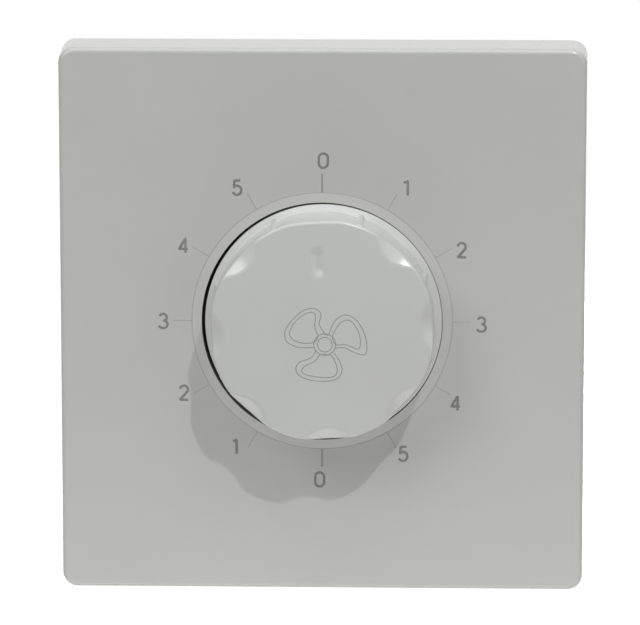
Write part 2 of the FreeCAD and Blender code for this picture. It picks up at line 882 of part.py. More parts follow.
# Knob: hollow turned shell with a skirt, eight grips between ridges, pointer dimple, hub.
# The grip beside the dimple has its flat and no scoop.
def knob():
    body = knob_blank()
    body = body.cut(knob_room())
    for index in range(grip_count):
        angle = knob_turn_at_rest + index * 360 / grip_count
        body = body.fuse(around(grip_ridge(), angle + 180 / grip_count))
    cutters = [around(pointer_dimple(), knob_turn_at_rest)]
    for index in range(grip_count):
        angle = knob_turn_at_rest + index * 360 / grip_count
        cutters.append(around(grip_flat(), angle))
        if index > 0:
            cutters.append(around(grip_scoop(), angle))
    body = body.cut(cutters)
    room_back = knob_face + knob_face_wall
    hub = rod(knob_hub_radius, room_back - 0.2, knob_hub_back)
    ribs = []
    half_rib = knob_rib_width / 2
    reach = knob_inner_radius + 0.3
    rib_back = room_back + knob_rib_depth
    ribs.append(block(-reach, reach, room_back - 0.2, rib_back, -half_rib, half_rib))
    ribs.append(block(-half_rib, half_rib, room_back - 0.2, rib_back, -reach, reach))
    body = joined([body, hub] + ribs)
    return body.cut([hub_bore(), hub_slot()])


def knob_blank():
    drop = dome_drop(knob_top_radius)
    middle = knob_top_radius / 2

    def at(radius, y):
        return FreeCAD.Vector(radius, y, 0)

    face_centre = at(0, knob_face)
    face_edge = at(knob_top_radius, knob_face + drop)
    corners = [
        face_edge,
        at(knob_foot_radius, knob_foot),
        at(knob_skirt_radius, skirt_edge),
        at(knob_skirt_radius, knob_skirt_back),
        at(0, knob_skirt_back),
        face_centre,
    ]
    edges = [Part.Arc(face_centre, at(middle, knob_face + dome_drop(middle)), face_edge).toShape()]
    for first, last in zip(corners, corners[1:]):
        edges.append(Part.LineSegment(first, last).toShape())
    outline = Part.Face(Part.Wire(edges))
    body = outline.revolve(FreeCAD.Vector(0, 0, 0), FreeCAD.Vector(0, 1, 0), 360)
    level = knob_face + drop
    rim = [edge for edge in body.Edges if abs(edge.BoundBox.YMin - level) < 0.01]
    return body.makeFillet(knob_rim_radius, rim)


def knob_room():
    return rod(knob_inner_radius, knob_face + knob_face_wall, knob_skirt_back + 1)


# Narrow ridge between two grips, flush with the wall at the face and wide at the skirt
def grip_ridge():
    top = knob_face + ridge_top_inset
    cone = turned([
        (0, top),
        (knob_top_radius, top),
        (ridge_base_radius, skirt_edge),
        (0, skirt_edge),
    ])
    half = ridge_width / 2
    bar = block(-half, half, top, skirt_edge, knob_inner_radius + 0.5, ridge_base_radius + 1)
    return cone.common(bar)


def hub_bore():
    bore = rod(shaft_radius + running_fit, shaft_front - 0.4, knob_hub_back + 1)
    big = 2 * shaft_radius
    above = block(-big, big, shaft_front - 1, knob_hub_back + 2, shaft_flat_from_axis + running_fit, big)
    return bore.cut(above)


def hub_slot():
    half = knob_rib_width / 2
    front = knob_hub_back - knob_hub_slot
    return block(-half, half, front, knob_hub_back + 1, 0, 2 * knob_hub_radius)


# Leaning flat of the grip at the top of the dial, deepest at the face
def grip_flat():
    outer = knob_skirt_radius + 3
    lean = (grip_flat_foot - grip_flat_top) / (knob_foot - knob_face)
    ahead = knob_face - 2
    points = [
        (grip_flat_foot, knob_foot),
        (outer, knob_foot),
        (outer, ahead),
        (grip_flat_top - 2 * lean, ahead),
    ]
    half = knob_skirt_radius / 2
    corners = [FreeCAD.Vector(-half, y, radius) for radius, y in points]
    face = Part.Face(Part.makePolygon(corners + [corners[0]]))
    return face.extrude(FreeCAD.Vector(2 * half, 0, 0))


# Finger scoop: a round cutter that slopes down and outwards from the face
def grip_scoop():
    slope = math.radians(scoop_slope)
    length = 24.0
    out = scoop_inner + scoop_radius * math.sin(slope) - length / 2 * math.cos(slope)
    ahead = scoop_radius * math.cos(slope) + length / 2 * math.sin(slope)
    level = knob_face + dome_drop(scoop_inner)
    start = FreeCAD.Vector(0, level - ahead, out)
    direction = FreeCAD.Vector(0, math.sin(slope), math.cos(slope))
    return Part.makeCylinder(scoop_radius, length, start, direction)


# Shallow groove with ball-shaped ends, level with the dome
def pointer_dimple():
    ball_radius = (dimple_half_width ** 2 + dimple_depth ** 2) / (2 * dimple_depth)
    half = dimple_half_length - dimple_half_width
    ahead = dimple_depth - ball_radius
    start = FreeCAD.Vector(0, ahead, -half)
    pieces = [Part.makeCylinder(ball_radius, 2 * half, start, FreeCAD.Vector(0, 0, 1))]
    for end in (-half, half):
        pieces.append(Part.makeSphere(ball_radius, FreeCAD.Vector(0, ahead, end)))
    dimple = joined(pieces)
    lean = math.degrees(math.asin(dimple_from_axis / knob_dome_radius))
    dimple.rotate(FreeCAD.Vector(0, 0, 0), FreeCAD.Vector(1, 0, 0), -lean)
    level = knob_face + dome_drop(dimple_from_axis)
    dimple.translate(FreeCAD.Vector(0, level, dimple_from_axis))
    return dimple


# Open spring band around the hub's split end
def knob_clip():
    back = knob_hub_back - knob_clip_inset
    front = back - knob_clip_width
    ring = rod(knob_hub_radius + knob_clip_thickness, front, back)
    ring = ring.cut(rod(knob_hub_radius, front - 1, back + 1))
    half = knob_clip_mouth / 2
    mouth = block(-half, half, front - 1, back + 1, -3 * knob_hub_radius, 0)
    return ring.cut(mouth)


def main():
    os.makedirs("parts", exist_ok=True)
    save("front_plate", front_plate())
    save("mounting_frame", mounting_frame())
    save("housing_cover", housing_cover())
    save("rear_housing", rear_housing())
    save("housing_screws", housing_screws())
    save("frame_screws", frame_screws())
    save("bushing", bushing())
    save("bushing_nut", bushing_nut())
    save("lock_washer", lock_washer())
    save("switch_housing", switch_housing())
    save("switch_base", switch_base())
    save("switch_rivets", switch_rivets())
    save("common_contact", common_contact())
    save("fixed_contacts", fixed_contacts())
    save("shaft", shaft())
    save("retaining_clip", retaining_clip())
    save("rotor", rotor())
    save("moving_contact", moving_contact())
    save("detent_spring", detent_spring())
    save("circuit_board", circuit_board())
    save("large_capacitor", large_capacitor())
    save("small_capacitor", small_capacitor())
    save("bleed_resistors", bleed_resistors())
    save("terminal_block", terminal_block())
    save("terminal_clamps", terminal_clamps())
    save("terminal_screws", terminal_screws())
    save("knob", knob())
    save("knob_clip", knob_clip())


main()
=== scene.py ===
import math

import bmesh
import bpy
import numpy as np
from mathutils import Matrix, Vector


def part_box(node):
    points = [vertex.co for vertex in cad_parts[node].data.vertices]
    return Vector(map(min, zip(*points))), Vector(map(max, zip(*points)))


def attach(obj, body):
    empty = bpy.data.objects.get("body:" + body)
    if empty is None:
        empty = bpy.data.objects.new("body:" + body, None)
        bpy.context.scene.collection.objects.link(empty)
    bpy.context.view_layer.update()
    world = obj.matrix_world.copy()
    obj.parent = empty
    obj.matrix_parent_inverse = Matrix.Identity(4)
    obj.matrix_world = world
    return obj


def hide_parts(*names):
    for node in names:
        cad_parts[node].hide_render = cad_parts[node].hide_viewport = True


# Looks of the fan speed control switch. Lengths are in millimetres where nothing else is said
MM = 0.001

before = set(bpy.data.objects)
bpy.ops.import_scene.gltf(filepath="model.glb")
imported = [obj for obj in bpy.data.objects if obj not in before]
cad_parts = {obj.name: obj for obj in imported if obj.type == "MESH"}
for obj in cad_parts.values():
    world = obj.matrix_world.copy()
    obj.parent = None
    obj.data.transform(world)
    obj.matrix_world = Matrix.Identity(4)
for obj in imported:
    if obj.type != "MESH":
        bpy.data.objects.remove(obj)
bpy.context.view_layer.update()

FIXED = "switch_body"
TURNING = "turning_knob"

# Middle of the plate, taken from its solid
plate_low, plate_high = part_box("front_plate")
plate_middle_x = (plate_low[0] + plate_high[0]) / 2 / MM
plate_middle_z = (plate_low[2] + plate_high[2]) / 2 / MM

# Fronts of the plate and of the knob's domed face, from the wall plane
plate_front = -10.0
knob_face = -20.3

# Dial print
ring_radius = 21.25
ring_width = 0.15
ring_points = 180
tick_count = 12
tick_inner = 21.2
tick_outer = 24.3
tick_width = 0.15
zero_tick_width = 0.28
number_width = 1.45
number_height = 2.36
stroke_width = 0.41
stroke_corner_step = stroke_width / 3
stroke_corner_share = 0.4
stroke_sides = 2
print_height = 0.02

# Numbers around the dial, clockwise from the top: value and place from the plate's middle
number_places = [
    (0, 0.2, 26.5),
    (1, 13.8, 22.0),
    (2, 22.7, 11.9),
    (3, 26.0, -0.4),
    (4, 21.8, -13.5),
    (5, 13.3, -22.0),
    (0, -0.4, -26.4),
    (1, -14.1, -21.0),
    (2, -22.6, -12.0),
    (3, -25.9, -0.1),
    (4, -22.6, 12.4),
    (5, -13.8, 22.0),
]

# Knob: radii from its axis, and places along the axis from the wall plane
knob_turn = -3.2
dome_radius = 160.0
top_radius = 18.2
foot_radius = 18.25
foot_level = -11.7
rim_round = 0.5
skirt_radius = 19.3
skirt_level = -10.7
skirt_back = -6.2
skirt_lip = 0.1
skirt_round = 0.2
crease_width = 0.16
crease_round = 0.05

# Grips round the knob: flats and scoops, with a ridge between neighbours
grip_count = 8
flat_top = 17.82
flat_foot = 18.25
flat_round = 0.4
ridge_half_width = 0.32
ridge_draft = 0.45
ridge_top_level = -18.7
ridge_foot_radius = 18.85
ridge_round = 0.2
ridge_end_round = 0.4
ridge_join = 0.35
scoop_round = 10.5
scoop_slope = 32.0
scoop_inner = 15.85
scoop_edge = 0.25

# Pointer dimple, with the lengths over which its ends and sides run out
dimple_top = 14.0
dimple_foot = 8.6
dimple_top_ramp = 1.4
dimple_foot_ramp = 1.9
dimple_half_width = 1.5
dimple_side_ramp = 1.5
dimple_depth = 0.6

# Back of the knob: its room, the hub for the shaft and four ribs
room_radius = 16.0
room_front = -17.6
room_middle = 1.0
hub_outer = 5.0
hub_inner = 3.05
hub_back = -8.2
hub_sides = 48
rib_count = 4
rib_thickness = 1.2
rib_back = -13.6
rib_hub_overlap = 0.3
rib_wall_overlap = 0.2
face_overlap = 0.1

# Rows of the knob's skin: counts, steps and where one step takes over from the next
middle_rows = (0.4, 8.0, 10)
face_step = 0.2
scoop_rows_from = 15.0
scoop_step = 0.12
rim_rows_from = 17.6
rim_rows = 6
rim_gap = 0.05
rim_fine_depth = 0.7
rim_step = 0.08
wall_step = 0.3
wall_foot_gap = 0.25
crease_rows_above = 0.22
crease_step = 0.045
flare_fine_share = 0.25
flare_rows = (0.3, 1.0, 8)
skirt_levels = (-10.5, -9.5, -8.0, -6.7, -6.4, -6.3, -6.24)

# Columns of the knob's skin, in degrees from a ridge, and the search along each line of sight
ridge_columns_reach = 3.4
ridge_column_step = 0.26
grip_columns = 52
last_column_gap = 0.1
sight_level = -12.0
search_near = 0.5
search_far = 1.2
search_extra = 0.5
search_steps = 36
sharp_angle = 50

# Fan sign on the knob's face, its points measured from its hub
sign_middle = (0.5, -2.0)
sign_line = 0.15
sign_hub_radii = (1.2, 1.77)
sign_hub_points = 45
curve_steps = 6

# Noise in the looks: clouds of tone in moulded pieces, and grain in both kinds of material
noise_low = 0.3
noise_high = 0.7
cloud_size = 14.0
cloud_detail = 3.0
moulded_detail = 2.0
moulded_roughness = (0.9, 1.1)
moulded_bump = 0.5
metal_detail = 4.0
metal_roughness = (0.8, 1.25)
metal_bump = 0.4
metal_grain_depth = 0.01

# Surroundings, in metres: the floor lies well below the switch, which is made to hang on a wall by its
# fixing slots
floor_level = -0.4
floor_half = 3.0
floor_grey = 0.8
floor_roughness = 0.9
floor_glow = 0.95
room_light = 0.1
room_tint = (1.0, 0.995, 0.98, 1)
white = (1, 1, 1, 1)

# Lamps: azimuth and elevation in degrees, distance, width and height in metres, watts, tint
lamps = {
    "key": (24.4, 51, 1.2, 0.025, 0.025, 4.5, (1, 1, 1)),
    "over": (0, 60, 0.9, 0.9, 0.3, 1.2, (0.985, 1, 1)),
    "upper_left": (-42, 38, 0.9, 0.38, 0.38, 2.2, (0.97, 0.99, 1)),
    "top": (0, 85, 0.8, 0.8, 0.6, 2.7, (0.97, 1, 1)),
    "low": (0, -70, 0.11, 0.3, 0.03, 0.066, (1, 1, 1)),
    "left": (-60, 20, 0.6, 0.3, 0.6, 0.3, (1, 1, 0.98)),
    "right": (60, 20, 0.6, 0.3, 0.6, 0.7, (1, 1, 0.98)),
    "behind": (180, -25, 0.9, 0.8, 0.5, 8, (1, 1, 1)),
}

# Camera at the photograph's viewing angle: degrees, metres, and pixels of the picture
camera_azimuth = 1.83
camera_elevation = 10.59
camera_distance = 0.824
focal_pixels = 5055.0
image_width = 640.0
image_height = 625.0
picture_middle = (322.1, 321.3)
sensor = 36.0
plate_aim = (plate_middle_x * MM, plate_front * MM, plate_middle_z * MM)


# Materials
def srgb(value):
    level = value / 255
    return level / 12.92 if level <= 0.04045 else ((level + 0.055) / 1.055) ** 2.4


def colour(red, green, blue):
    return (srgb(red), srgb(green), srgb(blue), 1.0)


def new_material(name):
    material = bpy.data.materials.new(name)
    material.use_nodes = True
    nodes = material.node_tree.nodes
    links = material.node_tree.links
    nodes.clear()
    out = nodes.new("ShaderNodeOutputMaterial")
    shader = nodes.new("ShaderNodeBsdfPrincipled")
    links.new(shader.outputs["BSDF"], out.inputs["Surface"])
    return material, nodes, links, shader


def noise(nodes, links, place, size, detail):
    texture = nodes.new("ShaderNodeTexNoise")
    texture.inputs["Scale"].default_value = 1 / (size * MM)
    texture.inputs["Detail"].default_value = detail
    links.new(place, texture.inputs["Vector"])
    return texture.outputs["Fac"]


def ranged(nodes, links, source, low, high):
    span = nodes.new("ShaderNodeMapRange")
    span.inputs["From Min"].default_value = noise_low
    span.inputs["From Max"].default_value = noise_high
    span.inputs["To Min"].default_value = low
    span.inputs["To Max"].default_value = high
    links.new(source, span.inputs["Value"])
    return span.outputs["Result"]


# The colour runs between two tones
def toned(nodes, links, source, shader, light, dark):
    mix = nodes.new("ShaderNodeMix")
    mix.data_type = "RGBA"
    mix.inputs["A"].default_value = dark
    mix.inputs["B"].default_value = light
    links.new(ranged(nodes, links, source, 0.0, 1.0), mix.inputs["Factor"])
    links.new(mix.outputs["Result"], shader.inputs["Base Color"])


# The roughness and the surface's height run with the grain
def grained(nodes, links, grain, shader, roughness, spread, depth, strength):
    low, high = [roughness * share for share in spread]
    links.new(ranged(nodes, links, grain, low, high), shader.inputs["Roughness"])
    bump = nodes.new("ShaderNodeBump")
    bump.inputs["Distance"].default_value = depth * MM
    bump.inputs["Strength"].default_value = strength
    links.new(grain, bump.inputs["Height"])
    links.new(bump.outputs["Normal"], shader.inputs["Normal"])


def moulded(name, light, dark, roughness, grain_size, grain_depth):
    material, nodes, links, shader = new_material(name)
    place = nodes.new("ShaderNodeTexCoord").outputs["Object"]
    cloud = noise(nodes, links, place, cloud_size, cloud_detail)
    toned(nodes, links, cloud, shader, light, dark)
    grain = noise(nodes, links, place, grain_size, moulded_detail)
    grained(nodes, links, grain, shader, roughness, moulded_roughness, grain_depth, moulded_bump)
    return material


def metal(name, light, dark, roughness, stretch, grain_size):
    material, nodes, links, shader = new_material(name)
    shader.inputs["Metallic"].default_value = 1.0
    place = nodes.new("ShaderNodeTexCoord").outputs["Object"]
    mapping = nodes.new("ShaderNodeMapping")
    mapping.inputs["Scale"].default_value = stretch
    links.new(place, mapping.inputs["Vector"])
    grain = noise(nodes, links, mapping.outputs["Vector"], grain_size, metal_detail)
    toned(nodes, links, grain, shader, light, dark)
    grained(nodes, links, grain, shader, roughness, metal_roughness, metal_grain_depth, metal_bump)
    return material


plate_white = moulded("plate_white", colour(184, 184, 180), colour(182, 182, 178), 0.24, 1.8, 0.004)
knob_white = moulded("knob_white", colour(191, 192, 190), colour(189, 190, 188), 0.22, 1.8, 0.004)
frame_grey = moulded("frame_grey", colour(176, 178, 177), colour(166, 168, 168), 0.55, 0.35, 0.03)
case_black = moulded("case_black", colour(42, 42, 44), colour(33, 33, 35), 0.5, 0.3, 0.03)
switch_brown = moulded("switch_brown", colour(104, 62, 38), colour(84, 48, 30), 0.42, 0.3, 0.02)
rotor_cream = moulded("rotor_cream", colour(226, 214, 186), colour(214, 202, 172), 0.45, 0.5, 0.01)
board_green = moulded("board_green", colour(34, 104, 58), colour(24, 88, 46), 0.35, 0.6, 0.01)
cap_yellow = moulded("cap_yellow", colour(222, 176, 60), colour(210, 162, 48), 0.32, 0.8, 0.008)
resistor_blue = moulded("resistor_blue", colour(120, 178, 200), colour(104, 162, 186), 0.35, 0.4, 0.01)
block_grey = moulded("block_grey", colour(196, 198, 196), colour(184, 186, 184), 0.5, 0.35, 0.02)
screw_steel = metal("screw_steel", colour(200, 200, 196), colour(168, 168, 166), 0.32, (1, 1, 1), 0.4)
spring_steel = metal("spring_steel", colour(150, 152, 156), colour(112, 114, 120), 0.35, (1, 1, 6), 0.3)
nut_plated = metal("nut_plated", colour(206, 202, 192), colour(180, 176, 168), 0.25, (1, 1, 1), 0.5)
brass = metal("bush_brass", colour(212, 176, 104), colour(186, 148, 80), 0.3, (1, 8, 1), 0.3)
shaft_metal = metal("shaft_metal", colour(206, 206, 208), colour(178, 178, 182), 0.34, (1, 10, 1), 0.3)

number_ink = moulded("number_ink", colour(124, 124, 121), colour(117, 117, 114), 0.5, 0.3, 0.004)
line_ink = moulded("line_ink", colour(165, 166, 163), colour(161, 162, 159), 0.45, 0.3, 0.004)
zero_ink = moulded("zero_ink", colour(146, 146, 143), colour(141, 141, 138), 0.45, 0.3, 0.004)
tick_ink = moulded("tick_ink", colour(160, 160, 157), colour(156, 156, 153), 0.45, 0.3, 0.004)
sign_ink = moulded("sign_ink", colour(142, 143, 142), colour(138, 139, 138), 0.45, 0.3, 0.004)

finishes = {
    "front_plate": plate_white,
    "knob": knob_white,
    "mounting_frame": frame_grey,
    "housing_cover": case_black,
    "rear_housing": case_black,
    "housing_screws": screw_steel,
    "frame_screws": screw_steel,
    "bushing": brass,
    "bushing_nut": nut_plated,
    "lock_washer": nut_plated,
    "switch_housing": switch_brown,
    "switch_base": switch_brown,
    "switch_rivets": brass,
    "common_contact": brass,
    "fixed_contacts": brass,
    "moving_contact": brass,
    "shaft": shaft_metal,
    "retaining_clip": spring_steel,
    "detent_spring": spring_steel,
    "knob_clip": spring_steel,
    "rotor": rotor_cream,
    "circuit_board": board_green,
    "large_capacitor": cap_yellow,
    "small_capacitor": cap_yellow,
    "bleed_resistors": resistor_blue,
    "terminal_block": block_grey,
    "terminal_clamps": screw_steel,
    "terminal_screws": screw_steel,
}
for node, material in finishes.items():
    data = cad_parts[node].data
    data.materials.clear()
    data.materials.append(material)


# How far the knob's domed face has dropped back at a place on it
def dome_drop(x, z):
    return dome_radius - math.sqrt(dome_radius**2 - x**2 - z**2)


def on_plate(x, z):
    return plate_front


def on_knob(x, z):
    return knob_face + dome_drop(x, z)


# Forms are functions that are negative inside; soft joins round the edge between two of them
def soft_max(first, second, width):
    near = np.maximum(width - np.abs(first - second), 0) / width
    return np.maximum(first, second) + near**2 * width / 4


def soft_min(first, second, width):
    return -soft_max(-first, -second, width)


def between(level, start, end, start_value, end_value):
    return start_value + (end_value - start_value) * (level - start) / (end - start)


def ramp(distance, length):
    part = np.clip(distance / length, 0, 1)
    return part * part * (3 - 2 * part)


# The round bar that cuts a scoop, lying at a slope across the rim
def scoop_form(along, across, y):
    slope = math.radians(scoop_slope)
    axis_along = scoop_inner + scoop_round * math.sin(slope)
    axis_y = knob_face + dome_drop(scoop_inner, 0) - scoop_round * math.cos(slope)
    behind = (y - axis_y) * math.cos(slope) - (along - axis_along) * math.sin(slope)
    return np.hypot(behind, across) - scoop_round


# How far the pointer's dimple has sunk into the face
def dimple_drop(along, across):
    ends = ramp(dimple_top - along, dimple_top_ramp) * ramp(along - dimple_foot, dimple_foot_ramp)
    return dimple_depth * ends * ramp(dimple_half_width - np.abs(across), dimple_side_ramp)


# Domed face and flats; the grip at the pointer has the dimple, and the others have scoops
def grips_form(radius, along, across, y, at_pointer):
    pit = np.where(at_pointer, dimple_drop(along, across), 0)
    dome = np.hypot(radius, y - pit - knob_face - dome_radius) - dome_radius
    wall = radius - between(y, knob_face, foot_level, top_radius, foot_radius)
    flat = along - between(y, knob_face, foot_level, flat_top, flat_foot)
    body = soft_max(soft_max(wall, flat, flat_round), dome, rim_round)
    scooped = soft_max(body, -scoop_form(along, across, y), scoop_edge)
    return np.where(at_pointer, body, scooped)


def ridge_form(radius, aside, y):
    top = between(y, ridge_top_level, skirt_level, top_radius, ridge_foot_radius)
    sides = aside - ridge_half_width - ridge_draft * (top - radius)
    ridge = soft_max(radius - top, sides, ridge_round)
    return soft_max(ridge, ridge_top_level - y, ridge_end_round)


def skirt_form(radius, y):
    flare = between(y, foot_level, skirt_level, foot_radius, skirt_radius)
    return np.maximum(radius - np.clip(flare, foot_radius, skirt_radius), foot_level - y)


# The knob's outside: grips, ridges between them, and the skirt behind a fine crease
def knob_form(x, y, z):
    radius = np.hypot(x, z)
    angle = np.arctan2(x, z)
    pitch = 2 * math.pi / grip_count
    grip = np.round(angle / pitch)
    across = radius * np.sin(angle - grip * pitch)
    along = radius * np.cos(angle - grip * pitch)
    aside = np.abs(radius * np.sin(angle - (np.floor(angle / pitch) + 0.5) * pitch))
    grips = grips_form(radius, along, across, y, grip == 0)
    body = soft_min(grips, ridge_form(radius, aside, y), ridge_join)
    body = np.minimum(body, skirt_form(radius, y))
    crease = np.hypot(radius - foot_radius, y - foot_level) - crease_width / 2
    body = soft_max(body, -crease, crease_round)
    return soft_max(body, y - skirt_back, skirt_round)


# Rows of the skin from the face's middle over the rim and down to the skirt's back edge
def knob_rows():
    face = [
        *np.linspace(*middle_rows),
        *np.arange(middle_rows[1] + face_step, scoop_rows_from, face_step),
        *np.arange(scoop_rows_from, rim_rows_from - rim_gap, scoop_step),
    ]
    rows = [(radius, knob_face + dome_drop(radius, 0)) for radius in face]
    rim = knob_face + dome_drop(top_radius, 0)
    rows += [(radius, rim) for radius in np.linspace(rim_rows_from, top_radius - rim_gap, rim_rows)]
    wall = [
        *np.arange(rim + rim_gap, rim + rim_fine_depth, rim_step),
        *np.arange(rim + rim_fine_depth + rim_gap, foot_level - wall_foot_gap, wall_step),
    ]
    rows += [(top_radius, level) for level in wall]
    above = np.arange(foot_level - crease_rows_above, foot_level, crease_step)
    rows += [(foot_radius, level) for level in above]
    for share in (*np.arange(0.0, flare_fine_share, crease_step), *np.linspace(*flare_rows)):
        radius = foot_radius + (skirt_radius - foot_radius) * share
        rows.append((radius, foot_level + (skirt_level - foot_level) * share))
    rows += [(skirt_radius, level) for level in skirt_levels]
    return np.array(rows)


# Column angles, closer together beside the ridges
def knob_columns():
    sector = 360 / grip_count
    near_next = sector - ridge_columns_reach
    one = [
        *np.arange(0, ridge_columns_reach, ridge_column_step),
        *np.linspace(ridge_columns_reach, near_next, grip_columns),
        *np.arange(near_next + ridge_column_step, sector - last_column_gap, ridge_column_step),
    ]
    ridges = sector / 2 + sector * np.arange(grip_count)
    return np.radians(np.add.outer(ridges, one).ravel())


# Radius and level of each point of the skin, where its line of sight leaves the form
def skin_rings(rows, angles):
    reach = np.hypot(rows[:, :1], rows[:, 1:] - sight_level)
    out = rows[:, :1] / reach
    ahead = (rows[:, 1:] - sight_level) / reach
    near = np.repeat(reach * search_near, len(angles), axis=1)
    far = np.repeat(reach * search_far + search_extra, len(angles), axis=1)
    for _ in range(search_steps):
        middle = (near + far) / 2
        x = middle * out * np.sin(angles)
        z = middle * out * np.cos(angles)
        inside = knob_form(x, sight_level + middle * ahead, z) < 0
        near = np.where(inside, middle, near)
        far = np.where(inside, far, middle)
    return near * out, sight_level + near * ahead


# Faces between two rings of points, each given by its first point's place in the list
def band(upper, lower, count):
    faces = []
    for column in range(count):
        after = (column + 1) % count
        faces.append((upper + column, upper + after, lower + after, lower + column))
    return faces


def knob_skin():
    angles = knob_columns()
    count = len(angles)
    radius, level = skin_rings(knob_rows(), angles)
    for back_radius, back_level in (
        (skirt_radius - skirt_lip, skirt_back),
        (room_radius, skirt_back),
        (room_radius, room_front),
        (room_middle, room_front),
    ):
        radius = np.vstack([radius, np.full(count, back_radius)])
        level = np.vstack([level, np.full(count, back_level)])
    turned = angles + math.radians(knob_turn)
    points = np.stack([radius * np.sin(turned), level, radius * np.cos(turned)], axis=2)
    points = [*points.reshape(-1, 3).tolist(), (0, knob_face, 0), (0, room_front, 0)]
    last = (len(radius) - 1) * count
    front, back = len(points) - 2, len(points) - 1
    faces = []
    for upper in range(0, last, count):
        faces += band(upper, upper + count, count)
    for column in range(count):
        after = (column + 1) % count
        faces.append((front, after, column))
        faces.append((back, last + column, last + after))
    return points, faces


def hub_tube():
    front = room_front - face_overlap
    profile = [(hub_outer, front), (hub_outer, hub_back), (hub_inner, hub_back), (hub_inner, front)]
    points = []
    faces = []
    for row, (radius, level) in enumerate(profile):
        for step in range(hub_sides):
            turn = 2 * math.pi * step / hub_sides
            points.append((radius * math.sin(turn), level, radius * math.cos(turn)))
        faces += band(row * hub_sides, (row + 1) % len(profile) * hub_sides, hub_sides)
    return points, faces


# A rib from the hub to the knob's wall
def rib(angle):
    turn = math.radians(angle)
    inner = hub_outer - rib_hub_overlap
    outer = room_radius + rib_wall_overlap
    half = rib_thickness / 2
    points = []
    for level in (room_front - face_overlap, rib_back):
        for along, side in ((inner, -half), (inner, half), (outer, half), (outer, -half)):
            x = along * math.sin(turn) + side * math.cos(turn)
            z = along * math.cos(turn) - side * math.sin(turn)
            points.append((x, level, z))
    faces = [(0, 1, 2, 3), (7, 6, 5, 4), (0, 4, 5, 1), (1, 5, 6, 2), (2, 6, 7, 3), (3, 7, 4, 0)]
    return points, faces


def fine_knob():
    shapes = [knob_skin(), hub_tube()]
    shapes += [rib(knob_turn + 360 / rib_count * step) for step in range(rib_count)]
    points = []
    faces = []
    for shape_points, shape_faces in shapes:
        start = len(points)
        points += [(x * MM, y * MM, z * MM) for x, y, z in shape_points]
        faces += [tuple(start + corner for corner in face) for face in shape_faces]
    mesh = bpy.data.meshes.new("fine_knob")
    mesh.from_pydata(points, [], faces)
    whole = bmesh.new()
    whole.from_mesh(mesh)
    bmesh.ops.recalc_face_normals(whole, faces=whole.faces)
    whole.to_mesh(mesh)
    whole.free()
    mesh.shade_smooth()
    mesh.set_sharp_from_angle(angle=math.radians(sharp_angle))
    mesh.materials.append(knob_white)
    piece = bpy.data.objects.new("fine_knob", mesh)
    bpy.context.collection.objects.link(piece)
    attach(piece, TURNING)
    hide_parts("knob")


# Ribbons: flat printed strokes with round ends, laid on a surface y = level(x, z)
def ribbon_piece(name, strokes, width, level, material, body, closed=False):
    data = bpy.data.curves.new(name + "_path", "CURVE")
    data.dimensions = "3D"
    data.bevel_depth = width / 2 * MM
    data.bevel_resolution = stroke_sides
    data.use_fill_caps = True
    for stroke in strokes:
        spline = data.splines.new("POLY")
        spline.points.add(len(stroke) - 1)
        for point, (x, z) in zip(spline.points, stroke):
            point.co = (x * MM, 0, z * MM, 1)
        spline.use_cyclic_u = closed
    path = bpy.data.objects.new(name + "_path", data)
    bpy.context.collection.objects.link(path)
    bpy.context.view_layer.update()
    depsgraph = bpy.context.evaluated_depsgraph_get()
    mesh = bpy.data.meshes.new_from_object(path.evaluated_get(depsgraph))
    bpy.data.objects.remove(path)
    flat = print_height / (width / 2)
    for vertex in mesh.vertices:
        vertex.co.y = level(vertex.co.x / MM, vertex.co.z / MM) * MM + vertex.co.y * flat
    mesh.materials.clear()
    mesh.materials.append(material)
    piece = bpy.data.objects.new(name, mesh)
    bpy.context.collection.objects.link(piece)
    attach(piece, body)


def arc(middle_x, middle_z, radius_x, radius_z, start, end, steps=18):
    points = []
    for step in range(steps + 1):
        angle = math.radians(start + (end - start) * step / steps)
        points.append((middle_x + radius_x * math.cos(angle), middle_z + radius_z * math.sin(angle)))
    return points


def circle(middle_x, middle_z, radius, count):
    return arc(middle_x, middle_z, radius, radius, 0, 360 - 360 / count, count - 1)


# Numbers as single strokes in a box one wide and one high, from plain lines and arcs
def number_strokes():
    round_z = number_width / 2 / number_height
    zero = arc(0.5, 1 - round_z, 0.5, round_z, 0, 180) + arc(0.5, round_z, 0.5, round_z, 180, 360)
    zero.append(zero[0])
    one = [(0.12, 0.90), (0.40, 0.94), (0.56, 1.0), (0.56, 0.0)]
    two = arc(0.5, 0.72, 0.44, 0.28, 172, -32) + [(0.04, 0.0), (0.97, 0.0)]
    three = arc(0.46, 0.765, 0.41, 0.235, 160, -78) + arc(0.46, 0.27, 0.50, 0.27, 76, -162)
    four = [(0.74, 0.0), (0.74, 1.0), (0.02, 0.27), (1.0, 0.27)]
    five = [(0.88, 1.0), (0.2, 1.0), (0.12, 0.50)] + arc(0.47, 0.32, 0.49, 0.32, 132, -156)
    return [zero, one, two, three, four, five]


def beside(corner, other):
    share = min(stroke_corner_step / math.dist(corner, other), stroke_corner_share)
    return tuple(place + (aim - place) * share for place, aim in zip(corner, other))


# Points close on both sides of each corner, so that a stroke keeps its width up to there
def cornered(points):
    path = [points[0]]
    for before, corner, after in zip(points, points[1:], points[2:]):
        path += [beside(corner, before), corner, beside(corner, after)]
    return [*path, points[-1]]


def dial_numbers():
    strokes = []
    shapes = number_strokes()
    for value, from_middle_x, from_middle_z in number_places:
        left = plate_middle_x + from_middle_x - number_width / 2
        foot = plate_middle_z + from_middle_z - number_height / 2
        placed = [(left + x * number_width, foot + z * number_height) for x, z in shapes[value]]
        strokes.append(cornered(placed))
    ribbon_piece("dial_numbers", strokes, stroke_width, on_plate, number_ink, FIXED)


